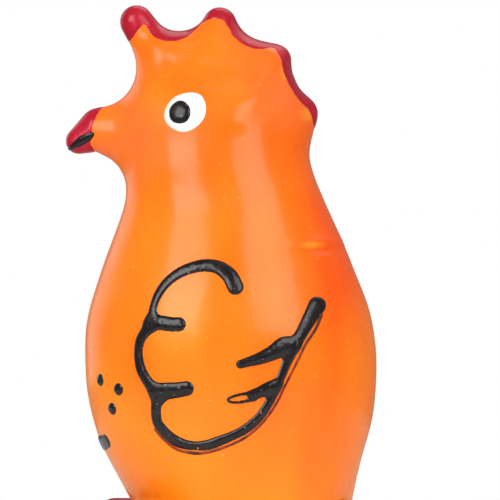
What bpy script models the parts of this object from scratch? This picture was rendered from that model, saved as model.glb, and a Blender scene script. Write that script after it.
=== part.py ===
"""Hand-painted latex squeak chicken, 150 mm tall, facing -X, standing on z = 0.

A hollow latex moulding carries raised paint marks.  Inside sit two wads of polyester stuffing
and a bellows squeaker with a reed.  All sizes below are millimetres; meshes are built in metres.
"""
import math

import bmesh
import bpy
from mathutils import Matrix, Vector

MM = 0.001
WALL = 2.2            # latex wall
FLOOR_LOW = 0.8       # underside of the body, held off the ground by the toes
FLOOR_TOP = 3.6       # inner face of the latex floor
GAP = 0.3             # clearance between neighbouring pieces
COAT = 0.5            # thickness of a paint coat
VOXEL = 0.92          # grid used to fuse the moulded forms
SKIN_TRIS = 2400      # facets kept on the outer skin

# Body sections: height, front x, back x, half depth.
BODY = ((0.8, -19.5, 33.0, 26.0), (6.0, -22.0, 35.0, 29.0), (12.0, -25.5, 36.5, 31.5),
        (23.0, -31.5, 39.0, 33.8), (36.5, -36.5, 42.5, 35.8), (50.0, -38.0, 43.4, 37.2),
        (63.5, -37.5, 42.0, 36.8), (76.5, -33.5, 37.0, 32.6), (90.0, -28.5, 31.5, 27.2),
        (98.0, -26.7, 27.8, 24.9), (105.0, -27.4, 25.3, 23.5), (112.0, -23.6, 24.2, 22.8))
HEAD_AT, HEAD_R = (-1.8, 0.0, 115.0), (25.8, 23.0, 21.6)

# Comb and beak: chains of (x, z, radius); the comb is a thick ridge with rounder lobes on it.
RIDGE_DEPTH, LOBE_DEPTH, BEAK_DEPTH = 1.4, 1.0, 0.95
RIDGE = ((-18.0, 123.4, 5.7), (-16.5, 136.5, 6.1), (-1.0, 137.8, 6.0), (12.2, 134.1, 5.4),
         (12.4, 129.6, 5.4), (17.6, 116.8, 5.8))
LOBES = (((-23.7, 145.5, 4.5), (-18.0, 137.0, 5.8)), ((-0.5, 145.2, 4.8), (-1.0, 138.3, 7.8)),
         ((16.1, 135.4, 3.2), (12.6, 132.0, 5.8)), ((23.1, 120.4, 3.4), (17.5, 118.4, 5.0)))
BEAK = ((-39.9, 112.4, 3.5), (-34.0, 115.5, 6.2), (-22.8, 114.2, 10.2))

# Foot on the +Y side: (x, y, z, radius) of the ankle and toe tips.
ANKLE = (-8.0, 19.0, 4.6, 7.0)
FRONT_TOES = ((-28.0, 31.0, 4.2, 6.8), (-30.0, 20.3, 4.6, 7.6), (-29.0, 9.8, 4.2, 6.6))
HIND_ROOT, HIND_TOE = (22.0, 14.5, 4.8, 7.0), (34.6, 14.0, 5.0, 7.4)

# Paint limits in side view, (x, z).
COMB_LINE = ((-29.0, 136.5), (-25.2, 140.5), (-21.5, 143.8), (-18.5, 140.4), (-14.0, 138.6),
             (-9.0, 140.0), (-6.0, 143.0), (-1.5, 145.0), (2.0, 142.5), (5.0, 138.4),
             (10.0, 136.2), (13.6, 136.4), (15.4, 133.0), (17.4, 126.3), (21.6, 122.0),
             (24.6, 118.0), (29.0, 113.0))
BEAK_LINE = ((-32.0, 124.5), (-34.2, 120.4), (-35.9, 116.6), (-36.6, 112.5), (-35.3, 109.4),
             (-34.0, 104.0))
MOUTH = ((-36.3, 114.1, 0.5), (-38.8, 112.6, 1.2), (-41.8, 110.8, 0.8), (-46.0, 108.3, 0.7))
EYE_AT, EYE_R, EYE_TILT = (-10.0, 120.5), (6.0, 5.45), 22.0
PUPIL_AT, PUPIL_R = (-11.7, 120.4), (2.95, 3.15)

# Wing outline strokes: (x, z, half width) along each stroke.
WING = (((4.0, 71.3, 2.3), (2.2, 74.6, 2.3), (-0.8, 77.1, 2.0), (-6.0, 77.6, 1.8),
         (-11.7, 75.7, 1.5), (-16.6, 71.3, 1.3), (-19.0, 66.0, 1.2), (-20.1, 60.2, 1.4)),
        ((-19.2, 61.4, 1.4), (-16.0, 61.2, 1.5), (-11.7, 61.0, 1.8)),
        ((-19.9, 61.0, 1.4), (-22.8, 56.5, 1.3), (-23.3, 52.0, 1.3), (-22.0, 47.0, 1.4),
         (-18.0, 42.1, 1.5), (-17.3, 39.8, 1.6)),
        ((-18.0, 42.1, 1.5), (-13.5, 42.8, 2.0), (-9.4, 43.2, 1.9)),
        ((-17.3, 40.9, 1.8), (-18.5, 35.8, 1.4), (-15.4, 30.0, 1.5), (-8.0, 26.8, 1.3),
         (-0.6, 27.8, 1.5), (6.9, 31.1, 1.4), (12.7, 37.7, 1.2), (16.6, 46.0, 1.2),
         (20.3, 54.9, 1.8), (24.8, 63.2, 1.9), (27.1, 66.5, 2.1)),
        ((20.1, 55.3, 2.1), (17.6, 54.8, 2.6), (14.3, 53.0, 2.2), (10.6, 51.4, 1.7),
         (5.3, 49.7, 1.2)),
        ((15.9, 44.2, 1.2), (14.0, 43.2, 2.0), (11.5, 42.3, 1.6), (3.2, 40.0, 1.0)))
CHEST_DOTS = (("high", -33.9, 45.2), ("mid", -28.9, 42.7), ("low", -30.9, 37.2))
DOT_R = 1.9
MARK_AT, MARK_R = (-32.9, 27.8), (12.0, 2.0)     # chest mark: (x, z), half size in y and z

# Base opening and its patch.
BASE_X, HOLE_R, PATCH_R, FLANGE_R, VENT_R = 7.0, 12.0, 11.7, 15.0, 1.5
PATCH_LOW, FLANGE_LOW, FLANGE_TOP = 1.5, 3.9, 5.3

# Stuffing and squeaker; the squeaker's axis runs along Y through (SQ_X, SQ_Z).
STUFF_LOW, SPLIT_Z, SPLIT_GAP = 5.8, 46.0, 0.4
SQ_X, SQ_Z = 3.0, 46.0
POCKET_R, POCKET_Y = 18.6, (-9.6, 11.2)
CUP_R, CAP_R, TUBE_R, TUBE_BORE, REED_Z = 18.0, 17.5, 4.0, 3.1, 0.45
TONGUE = (3.6, 7.0, 0.35)                         # width, length, thickness


def clear_scene():
    for obj in list(bpy.data.objects):
        bpy.data.objects.remove(obj, do_unlink=True)


def collection(name):
    made = bpy.data.collections.new(name)
    bpy.context.scene.collection.children.link(made)
    return made


def material(name, colour, roughness):
    mat = bpy.data.materials.new(name)
    mat.use_nodes = True
    shader = mat.node_tree.nodes["Principled BSDF"]
    shader.inputs["Base Color"].default_value = (*colour, 1.0)
    shader.inputs["Roughness"].default_value = roughness
    return mat


def from_bmesh(name, bm, group):
    bmesh.ops.recalc_face_normals(bm, faces=bm.faces[:])
    mesh = bpy.data.meshes.new(name)
    bm.to_mesh(mesh)
    bm.free()
    obj = bpy.data.objects.new(name, mesh)
    group.objects.link(obj)
    return obj


def pour(source, target):
    """Add everything in one bmesh to another."""
    mesh = bpy.data.meshes.new("pour")
    source.to_mesh(mesh)
    source.free()
    target.from_mesh(mesh)
    bpy.data.meshes.remove(mesh)


def bake(obj):
    """Replace the mesh by the result of the object's modifiers."""
    graph = bpy.context.evaluated_depsgraph_get()
    mesh = bpy.data.meshes.new_from_object(obj.evaluated_get(graph))
    old = obj.data
    obj.modifiers.clear()
    obj.data = mesh
    bpy.data.meshes.remove(old)


def boolean(obj, cutter, operation, self_cross=False):
    mod = obj.modifiers.new(operation, "BOOLEAN")
    mod.solver, mod.operation, mod.object = "EXACT", operation, cutter
    mod.use_self = self_cross
    bake(obj)


def park(obj):
    """Leave a cutter in its collection, out of the render."""
    obj.hide_render = True
    obj.display_type = "WIRE"


def duplicate(obj, name, group):
    made = bpy.data.objects.new(name, obj.data.copy())
    group.objects.link(made)
    return made


def curve_through(points, steps):
    """Catmull-Rom curve through points of any dimension."""
    ends = [points[0]] + list(points) + [points[-1]]
    out = []
    for a, b, c, d in zip(ends, ends[1:], ends[2:], ends[3:]):
        for k in range(steps):
            t = k / steps
            out.append(tuple(0.5 * (2 * q + (r - p) * t + (2 * p - 5 * q + 4 * r - s) * t * t
                                    + (3 * q - p - 3 * r + s) * t ** 3)
                             for p, q, r, s in zip(a, b, c, d)))
    return out + [tuple(points[-1])]


def body_loft(inset, low, high, sides, steps):
    """Closed loft through the body sections, shrunk by the inset and kept between two heights."""
    rings = [row for row in curve_through(BODY, steps) if low < row[0] < high]
    first = next(row for row in curve_through(BODY, 40) if row[0] >= low)
    last = [row for row in curve_through(BODY, 40) if row[0] <= high][-1]
    rings = [(low, *first[1:])] + rings + [(high, *last[1:])]
    bm = bmesh.new()
    loops = []
    for z, front, back, depth in rings:
        mid, half = (front + back) / 2, (back - front) / 2 - inset
        loops.append([bm.verts.new(Vector((mid + half * math.cos(a), (depth - inset) * math.sin(a), z)) * MM)
                      for a in (2 * math.pi * k / sides for k in range(sides))])
    for lower, upper in zip(loops, loops[1:]):
        for k in range(sides):
            n = (k + 1) % sides
            bm.faces.new((lower[k], lower[n], upper[n], upper[k]))
    bm.faces.new(loops[0][::-1])
    bm.faces.new(loops[-1])
    return bm


def head_ball(inset, u, v):
    bm = bmesh.new()
    size = Matrix.Diagonal((*[(r - inset) * MM for r in HEAD_R], 1.0))
    bmesh.ops.create_uvsphere(bm, u_segments=u, v_segments=v, radius=1.0,
                              matrix=Matrix.Translation(Vector(HEAD_AT) * MM) @ size)
    return bm


def link(start, end, trim=0.0, depth=1.0, fine=3):
    """Round-ended link between two balls given as (x, y, z, radius)."""
    bm = bmesh.new()
    for x, y, z, r in (start, end):
        size = Matrix.Diagonal((1.0, depth, 1.0, 1.0))
        bmesh.ops.create_icosphere(bm, subdivisions=fine, radius=(r - trim) * MM,
                                   matrix=Matrix.Translation(Vector((x, y, z)) * MM) @ size)
    bmesh.ops.delete(bm, geom=bm.edges[:] + bm.faces[:], context="EDGES_FACES")
    bmesh.ops.convex_hull(bm, input=bm.verts[:])
    bmesh.ops.delete(bm, geom=[v for v in bm.verts if not v.link_faces], context="VERTS")
    return bm


def fuse(obj, voxel, rounds, triangles):
    """Melt overlapping closed forms into one moulded surface with soft inner corners."""
    remesh = obj.modifiers.new("Remesh", "REMESH")
    remesh.mode, remesh.voxel_size, remesh.adaptivity = "VOXEL", voxel * MM, 0.0
    smooth = obj.modifiers.new("Smooth", "SMOOTH")
    smooth.factor, smooth.iterations = 0.5, rounds
    bake(obj)
    thin = obj.modifiers.new("Decimate", "DECIMATE")
    thin.ratio = triangles / (2.0 * len(obj.data.polygons))
    thin.use_collapse_triangulate = True
    bake(obj)


def box(name, low, high, group):
    bm = bmesh.new()
    mid, size = [(a + b) / 2 * MM for a, b in zip(low, high)], [(b - a) * MM for a, b in zip(low, high)]
    bmesh.ops.create_cube(bm, size=1.0, matrix=Matrix.Translation(mid) @ Matrix.Diagonal((*size, 1.0)))
    return from_bmesh(name, bm, group)


def prism(points, near, far):
    """Side-view outline (x, z) drawn out along Y from near to far."""
    bm = bmesh.new()
    face = bm.faces.new([bm.verts.new((x * MM, near * MM, z * MM)) for x, z in points])
    grown = bmesh.ops.extrude_face_region(bm, geom=[face])["geom"]
    bmesh.ops.translate(bm, verts=[g for g in grown if isinstance(g, bmesh.types.BMVert)],
                        vec=(0.0, (far - near) * MM, 0.0))
    return bm


def ribbon(stroke, steps=2, tips=4):
    """Outline of a brush stroke with round ends."""
    line = curve_through(stroke, steps)
    left, right = [], []
    for k, (x, z, w) in enumerate(line):
        (ax, az, _), (bx, bz, _) = line[max(k - 1, 0)], line[min(k + 1, len(line) - 1)]
        size = math.hypot(bx - ax, bz - az)
        nx, nz = -(bz - az) / size, (bx - ax) / size
        left.append((x + nx * w, z + nz * w))
        right.append((x - nx * w, z - nz * w))

    def cap(centre, start):
        x, z, w = centre
        turn = math.atan2(start[1] - z, start[0] - x)
        return [(x + w * math.cos(turn - math.pi * k / tips), z + w * math.sin(turn - math.pi * k / tips))
                for k in range(1, tips)]

    return left + cap(line[-1], left[-1]) + right[::-1] + cap(line[0], right[0])


def ellipse(centre, radii, tilt=0.0, count=22):
    c, s = math.cos(math.radians(tilt)), math.sin(math.radians(tilt))
    spots = [(radii[0] * math.cos(a), radii[1] * math.sin(a))
             for a in (2 * math.pi * k / count for k in range(count))]
    return [(centre[0] + u * c - v * s, centre[1] + u * s + v * c) for u, v in spots]


def swell(obj, distance):
    mod = obj.modifiers.new("Swell", "DISPLACE")
    mod.mid_level, mod.strength = 0.0, distance * MM
    bake(obj)


def coat(name, skin, zone, lift, group, cutters, thick=COAT):
    """Paint coat: the part of the skin inside the zone, raised by the lift."""
    outer = duplicate(skin, name, group)
    swell(outer, lift + thick)
    inner = duplicate(skin, name + "_under", cutters)
    swell(inner, lift)
    boolean(outer, zone, "INTERSECT", True)
    boolean(outer, inner, "DIFFERENCE")
    bpy.data.objects.remove(inner, do_unlink=True)
    park(zone)
    return outer


def coat_pair(name, skin, zone, lift, group, cutters, thick=COAT):
    """The same mark on both flanks; the zone is drawn on the -Y side."""
    coat(name + "_left", skin, zone, lift, group, cutters, thick)
    other = duplicate(zone, zone.name + "_right", cutters)
    other.data.transform(Matrix.Diagonal((1.0, -1.0, 1.0, 1.0)))
    other.data.flip_normals()
    coat(name + "_right", skin, other, lift, group, cutters, thick)


def outer_form(group):
    """The whole moulding before it is hollowed."""
    bm = body_loft(0.0, FLOOR_LOW, 112.0, 72, 5)
    pour(head_ball(0.0, 48, 32), bm)
    for chain, depth in ((RIDGE, RIDGE_DEPTH), (BEAK, BEAK_DEPTH)):
        for a, b in zip(chain, chain[1:]):
            pour(link((a[0], 0.0, *a[1:]), (b[0], 0.0, *b[1:]), COAT + GAP, depth), bm)
    for tip, root in LOBES:
        pour(link((tip[0], 0.0, *tip[1:]), (root[0], 0.0, *root[1:]), COAT + GAP, LOBE_DEPTH), bm)
    for side in (1, -1):
        for start, end in [(ANKLE, toe) for toe in FRONT_TOES] + [(HIND_ROOT, HIND_TOE)]:
            pour(link(*[(x, side * y, z, r) for x, y, z, r in (start, end)], COAT + GAP), bm)
    solid = from_bmesh("latex_skin", bm, group)
    fuse(solid, VOXEL, 7, SKIN_TRIS)
    return solid


def hollow(skin, cutters):
    cavity = from_bmesh("cavity", body_loft(WALL, FLOOR_TOP, 111.0, 28, 1), cutters)
    crown = from_bmesh("head_cavity", head_ball(WALL, 24, 14), cutters)
    boolean(cavity, crown, "UNION")
    hole = bmesh.new()
    bmesh.ops.create_cone(hole, cap_ends=True, segments=28, radius1=HOLE_R * MM, radius2=HOLE_R * MM,
                          depth=8 * MM, matrix=Matrix.Translation(Vector((BASE_X, 0, 2.0)) * MM))
    boolean(cavity, from_bmesh("base_hole", hole, cutters), "UNION")
    boolean(skin, cavity, "DIFFERENCE")
    for name in ("cavity", "head_cavity", "base_hole"):
        park(bpy.data.objects[name])


def toe_zone(name, links, cutters):
    bm = bmesh.new()
    for start, end in links:
        pour(link(*[(x, -y, z, r + 1.3) for x, y, z, r in (start, end)], fine=2), bm)
    zone = from_bmesh(name, bm, cutters)
    fuse(zone, 1.3, 3, 280)
    keep = box(name + "_room", (-60, -60, GAP), (60, -0.5, 40), cutters)
    boolean(zone, keep, "INTERSECT")
    park(keep)
    split = zone.modifiers.new("Triangulate", "TRIANGULATE")
    split.quad_method = "BEAUTY"
    bake(zone)
    return zone


def body_side(x, z):
    """Depth of the body's -Y side at a point in side view."""
    rows = curve_through(BODY, 40)
    _, front, back, depth = min(rows, key=lambda row: abs(row[0] - z))
    across = (x - (front + back) / 2) / ((back - front) / 2)
    return -depth * math.sqrt(max(0.0, 1.0 - across * across))


def paint(skin, group, cutters):
    """All painted marks."""
    lift = GAP
    comb = prism(curve_through(COMB_LINE, 3) + [(34.0, 114.0), (34.0, 165.0), (-34.0, 165.0),
                                                (-34.0, 137.0)], -30, 30)
    coat("comb_paint", skin, from_bmesh("comb_zone", comb, cutters), lift, group, cutters)
    beak = prism(curve_through(BEAK_LINE, 3) + [(-55.0, 104.0), (-55.0, 124.5)], -30, 30)
    coat("beak_paint", skin, from_bmesh("beak_zone", beak, cutters), lift, group, cutters)
    mouth = from_bmesh("mouth_zone", prism(ribbon(MOUTH), -30, 30), cutters)
    coat("mouth_line", skin, mouth, COAT + 2 * lift, group, cutters, 0.4)

    eye = from_bmesh("eye_zone", prism(ellipse(EYE_AT, EYE_R, EYE_TILT), -40, -6), cutters)
    coat_pair("eye_white", skin, eye, lift, group, cutters)
    pupil = from_bmesh("pupil_zone", prism(ellipse(PUPIL_AT, PUPIL_R, 0, 16), -40, -6), cutters)
    coat_pair("pupil", skin, pupil, COAT + 2 * lift, group, cutters, 0.4)

    strokes = bmesh.new()
    for k, stroke in enumerate(WING):
        pour(prism(ribbon(stroke), -60.0 - 0.1 * k, -5.0 - 0.1 * k), strokes)
    wing = from_bmesh("wing_zone", strokes, cutters)
    merge = wing.modifiers.new("Merge", "BOOLEAN")
    merge.solver, merge.operation, merge.use_self = "EXACT", "UNION", True
    merge.object = box("wing_spare", (-4, -9, 44), (-2, -7, 46), cutters)
    bake(wing)
    park(bpy.data.objects["wing_spare"])
    coat_pair("wing_outline", skin, wing, lift, group, cutters)

    for label, x, z in CHEST_DOTS:
        dot = bmesh.new()
        spot = Vector((x, body_side(x, z), z)) * MM
        bmesh.ops.create_icosphere(dot, subdivisions=1, radius=DOT_R * MM, matrix=Matrix.Translation(spot))
        zone = from_bmesh("dot_zone_" + label, dot, cutters)
        coat_pair("chest_dot_" + label, skin, zone, lift, group, cutters)
    mark = bmesh.new()
    at = Matrix.Translation(Vector((MARK_AT[0], 0.0, MARK_AT[1])) * MM)
    size = Matrix.Diagonal((6.0 * MM, MARK_R[0] * MM, MARK_R[1] * MM, 1.0))
    bmesh.ops.create_uvsphere(mark, u_segments=18, v_segments=8, radius=1.0, matrix=at @ size)
    coat("chest_mark", skin, from_bmesh("mark_zone", mark, cutters), lift, group, cutters)

    front = toe_zone("front_toe_zone", [(ANKLE, toe) for toe in FRONT_TOES], cutters)
    coat_pair("front_toe_paint", skin, front, lift, group, cutters)
    hind = toe_zone("hind_toe_zone", [(HIND_ROOT, HIND_TOE)], cutters)
    coat_pair("hind_toe_paint", skin, hind, lift, group, cutters)


def turned(name, profile, group, upright=False, steps=24):
    """Turn a closed (radius, height) profile about Z, or about the squeaker's Y axis."""
    bm = bmesh.new()
    bm.faces.new([bm.verts.new((r * MM, 0.0, h * MM)) for r, h in profile])
    bmesh.ops.delete(bm, geom=bm.faces[:], context="FACES_ONLY")
    obj = from_bmesh(name, bm, group)
    spin = obj.modifiers.new("Screw", "SCREW")
    spin.steps = spin.render_steps = steps
    spin.use_merge_vertices, spin.merge_threshold, spin.use_normal_calculate = True, 0.00001, True
    bake(obj)
    if not upright:
        place = Matrix.Translation(Vector((SQ_X, 0.0, SQ_Z)) * MM)
        obj.data.transform(place @ Matrix.Rotation(-math.pi / 2, 4, "X"))
    check = bmesh.new()
    check.from_mesh(obj.data)
    bmesh.ops.remove_doubles(check, verts=check.verts[:], dist=0.00001)
    bmesh.ops.recalc_face_normals(check, faces=check.faces[:])
    check.to_mesh(obj.data)
    check.free()
    return obj


def base_patch(group):
    rim = [(PATCH_R, PATCH_LOW), (PATCH_R, FLANGE_LOW), (FLANGE_R, FLANGE_LOW), (FLANGE_R, FLANGE_TOP),
           (VENT_R, FLANGE_TOP), (VENT_R, PATCH_LOW)]
    patch = turned("base_patch", rim[::-1], group, upright=True, steps=28)
    patch.data.transform(Matrix.Translation((BASE_X * MM, 0.0, 0.0)))


def stuffing(group, cutters):
    """Two wads of wadding that meet around the squeaker."""
    wad = from_bmesh("wad", body_loft(WALL + 0.7, STUFF_LOW, 110.5, 20, 1), cutters)
    crown = from_bmesh("wad_head", head_ball(WALL + 0.7, 20, 12), cutters)
    boolean(wad, crown, "UNION")
    pocket = bmesh.new()
    near, far = POCKET_Y
    bmesh.ops.create_cone(pocket, cap_ends=True, segments=28, radius1=POCKET_R * MM,
                          radius2=POCKET_R * MM, depth=(far - near) * MM,
                          matrix=Matrix.Translation(Vector((SQ_X, (near + far) / 2, SQ_Z)) * MM)
                          @ Matrix.Rotation(math.pi / 2, 4, "X"))
    boolean(wad, from_bmesh("pocket", pocket, cutters), "DIFFERENCE")
    for name, low, high in (("stuffing_lower", 0.0, SPLIT_Z - SPLIT_GAP / 2),
                            ("stuffing_upper", SPLIT_Z + SPLIT_GAP / 2, 160.0)):
        half = duplicate(wad, name, group)
        room = box(name + "_room", (-70, -70, low), (70, 70, high), cutters)
        boolean(half, room, "INTERSECT")
        park(room)
    for name in ("wad", "wad_head", "pocket"):
        park(bpy.data.objects[name])


def squeaker(group):
    """Cup, bellows and press cap on one axis, with the reed tube through the cup."""
    turned("squeaker_cup", [(4.4, 6.2), (4.4, 9.0), (6.2, 9.0), (6.2, 7.4), (CUP_R - 0.8, 7.4), (CUP_R, 6.6),
                            (CUP_R, 3.0), (CUP_R - 1.2, 3.0), (CUP_R - 1.2, 6.2)], group)
    fold = [(16.2, -5.7), (17.0, -4.9), (14.6, -2.9), (17.0, -0.9), (14.6, 1.1), (16.2, 2.7)]
    inner = [(r - 0.9, h) for r, h in fold]
    turned("squeaker_bellows", fold + inner[::-1], group)
    cap = turned("squeaker_cap", [(0.0, -7.2), (13.4, -7.2), (13.4, -6.0), (CAP_R, -6.0), (CAP_R, -8.2),
                                  (CAP_R - 0.8, -9.0), (12.0, -9.0), (11.2, -8.4), (0.0, -8.4)], group)
    turned("reed_tube", [(TUBE_BORE, 1.0), (TUBE_BORE, 10.3), (5.6, 10.3), (5.6, 9.3), (TUBE_R, 9.3),
                         (TUBE_R, 1.0)], group, steps=16)
    seat = turned("reed_seat", [(0.0, 2.0), (2.8, 2.0), (2.8, 9.6), (0.0, 9.6)], group, steps=16)
    above = box("seat_room", (SQ_X - 5, 0, SQ_Z - 5), (SQ_X + 5, 12, SQ_Z), bpy.data.collections["cutters"])
    boolean(seat, above, "INTERSECT")
    park(above)
    bm = bmesh.new()
    wide, length, thin = TONGUE
    size = Matrix.Diagonal((wide * MM, length * MM, thin * MM, 1.0))
    bmesh.ops.create_cube(bm, size=1.0, matrix=Matrix.Translation((0.0, -length / 2 * MM, 0.0)) @ size)
    tongue = from_bmesh("reed_tongue", bm, group)
    tongue.location = Vector((SQ_X, 9.4, SQ_Z + REED_Z)) * MM
    cap.data.transform(Matrix.Translation(-Vector((SQ_X, -9.0, SQ_Z)) * MM))
    cap.location = Vector((SQ_X, -9.0, SQ_Z)) * MM


def colour(group):
    """Each piece gets its own plain material."""
    red, black, orange = (0.42, 0.012, 0.03), (0.012, 0.011, 0.012), (0.83, 0.27, 0.02)
    white, wool, shell = (0.85, 0.83, 0.76), (0.9, 0.89, 0.85), (0.75, 0.78, 0.8)
    looks = (("comb", red), ("beak", red), ("toe", red), ("eye", white), ("pupil", black),
             ("mouth", black), ("wing", black), ("chest", black), ("stuffing", wool),
             ("squeaker", shell), ("reed", shell), ("base", orange), ("latex", orange))
    for obj in group.objects:
        tint = next(shade for key, shade in looks if key in obj.name)
        rough = 0.9 if "stuffing" in obj.name else 0.35
        obj.data.materials.clear()
        obj.data.materials.append(material(obj.name + "_mat", tint, rough))


def main():
    clear_scene()
    group, cutters = collection("rubber_chicken"), collection("cutters")
    skin = outer_form(group)
    paint(skin, group, cutters)
    soles = box("ground", (-90, -90, -20), (90, 90, 0), cutters)
    boolean(skin, soles, "DIFFERENCE")
    park(soles)
    hollow(skin, cutters)
    base_patch(group)
    stuffing(group, cutters)
    squeaker(group)
    colour(group)


main()
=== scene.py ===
import math
import bpy
import numpy as np
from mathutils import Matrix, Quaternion, Vector, noise

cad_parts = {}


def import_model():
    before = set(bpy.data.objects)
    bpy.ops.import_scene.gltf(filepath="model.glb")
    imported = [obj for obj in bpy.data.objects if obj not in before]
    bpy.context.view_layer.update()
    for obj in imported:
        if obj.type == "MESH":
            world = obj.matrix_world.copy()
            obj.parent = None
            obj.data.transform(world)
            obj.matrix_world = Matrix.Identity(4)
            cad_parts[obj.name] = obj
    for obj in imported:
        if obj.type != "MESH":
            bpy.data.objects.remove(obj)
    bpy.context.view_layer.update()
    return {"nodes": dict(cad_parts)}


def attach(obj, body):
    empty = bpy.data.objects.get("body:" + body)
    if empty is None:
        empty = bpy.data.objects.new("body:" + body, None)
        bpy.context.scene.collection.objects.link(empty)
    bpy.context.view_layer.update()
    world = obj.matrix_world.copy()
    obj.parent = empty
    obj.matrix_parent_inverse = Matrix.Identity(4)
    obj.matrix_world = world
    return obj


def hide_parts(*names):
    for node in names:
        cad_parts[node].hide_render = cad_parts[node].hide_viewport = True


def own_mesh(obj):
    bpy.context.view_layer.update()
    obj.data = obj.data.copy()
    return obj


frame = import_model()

# ---------------------------------------------------------------- sizes, in millimetres
MM = 0.001
PITCH = 0.8      # grid of the skin's surface
FINE = 0.25     # grid of the painted strokes
VIEW_X, VIEW_Z, DISTANCE, FRAME_MM = 8.0, 81.8, 1500.0, 140.0    # level camera and its frame's width
WALL, FLOOR_LOW, FLOOR_TOP = 2.2, 0.8, 3.6      # latex wall; underside and inner face of its floor
BASE_X, HOLE_R = 7.0, 12.0                      # hole in the floor, closed by the base patch
NECK_Z, NECK_BLEND = 112.0, 9.0                 # where body turns into head, and over what height
COMB_BLEND, LOBE_BLEND, BEAK_BLEND = 7.0, 3.6, 5.0      # radii of the fillets between forms
TOE_BLEND, FOOT_BLEND, SOLE_ROUND, STROKE_BLEND = 1.6, 2.4, 0.8, 1.4
COAT, COAT_EDGE, UNDER = 0.16, 0.3, 0.7         # paint: thickness, width of its edge, depth below the skin
COMB_PAINT_HALF, TOE_PAINT_REACH = 9.0, 1.3
CHEST_DOT_R = 1.75

# Body sections: height, front x, back x, half depth.
BODY = np.array([(0.8, -19.5, 33.0, 26.0), (6.0, -22.2, 35.2, 29.0), (12.0, -25.3, 36.6, 31.5),
                 (23.0, -31.4, 39.1, 33.8), (36.4, -36.4, 42.5, 35.8), (49.8, -38.1, 43.4, 37.2),
                 (63.3, -37.3, 41.8, 36.8), (76.7, -33.3, 37.0, 32.6), (90.2, -28.5, 31.3, 27.2),
                 (98.0, -26.7, 27.8, 24.7), (105.0, -27.4, 25.3, 23.7), (112.0, -27.3, 24.1, 23.1),
                 (119.0, -27.0, 23.5, 22.4), (126.0, -24.0, 20.4, 19.8)])
HEAD_AT, HEAD_R = (-1.8, 0.0, 115.0), (25.8, 23.0, 21.6)

# Comb and beak: balls (x, z, radius) in the middle plane, and how deep they are for their radius.
RIDGE_DEPTH, LOBE_DEPTH, BEAK_DEPTH = 1.5, 1.05, 0.95
RIDGE = ((-18.0, 123.4, 5.7), (-16.5, 136.5, 6.1), (-1.0, 137.8, 6.0), (12.2, 134.1, 5.4),
         (12.4, 129.6, 5.4), (17.6, 116.8, 5.8))
LOBES = (((-23.7, 145.6, 4.5), (-18.1, 137.0, 5.6)), ((-0.5, 145.0, 4.6), (-1.0, 138.3, 7.6)),
         ((16.1, 135.4, 2.9), (12.6, 132.0, 5.6)), ((23.1, 120.4, 3.1), (17.5, 118.4, 4.8)))
BEAK = ((-39.9, 112.4, 3.5), (-34.0, 115.5, 6.0), (-22.8, 114.2, 9.9))

# Foot on the +Y side: balls (x, y, z, radius).
ANKLE = (-8.0, 19.0, 4.6, 6.6)
FRONT_TOES = ((-28.0, 31.0, 4.2, 6.2), (-30.0, 20.3, 4.6, 6.6), (-29.0, 9.8, 4.2, 6.2))
HIND_ROOT, HIND_TOE = (22.0, 14.5, 4.6, 6.4), (34.6, 14.0, 4.6, 6.8)

# Paint in side view: edges as (x, z), strokes as (x, z, half width).
COMB_LINE = ((-29.0, 138.5), (-25.2, 140.6), (-23.5, 143.0), (-21.5, 145.0), (-20.0, 142.5),
             (-18.5, 141.0), (-16.5, 139.8), (-14.0, 139.4), (-11.5, 139.8), (-9.0, 141.5),
             (-7.0, 143.6), (-5.2, 145.4), (-3.8, 146.1), (-1.5, 146.4), (0.5, 145.8), (2.3, 143.3),
             (3.0, 141.5), (5.0, 139.0), (7.5, 137.7), (10.0, 137.4), (12.0, 137.8), (13.6, 138.4),
             (15.2, 137.6), (16.5, 135.3), (16.6, 132.8), (17.0, 130.3), (18.5, 126.3),
             (20.5, 123.8), (22.5, 122.5), (24.0, 121.3), (25.0, 119.3), (25.6, 117.3), (27.0, 113.0))
BEAK_LINE = ((-30.5, 127.0), (-33.2, 121.8), (-34.2, 120.4), (-35.2, 118.4), (-35.9, 116.6),
             (-36.3, 114.6), (-36.6, 111.9), (-35.5, 109.4), (-33.0, 104.0))
MOUTH = ((-36.2, 114.0, 0.75), (-37.5, 113.2, 1.3), (-38.9, 112.4, 1.4), (-40.3, 111.5, 1.2),
         (-41.8, 110.6, 0.8), (-43.4, 109.7, 0.5), (-46.0, 108.4, 0.45))
EYE_AT, EYE_R, EYE_TILT = (-10.05, 120.45), (6.2, 5.15), 36.0
PUPIL_AT, PUPIL_R, PUPIL_TILT = (-11.6, 120.3), (3.3, 3.05), 70.0
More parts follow.
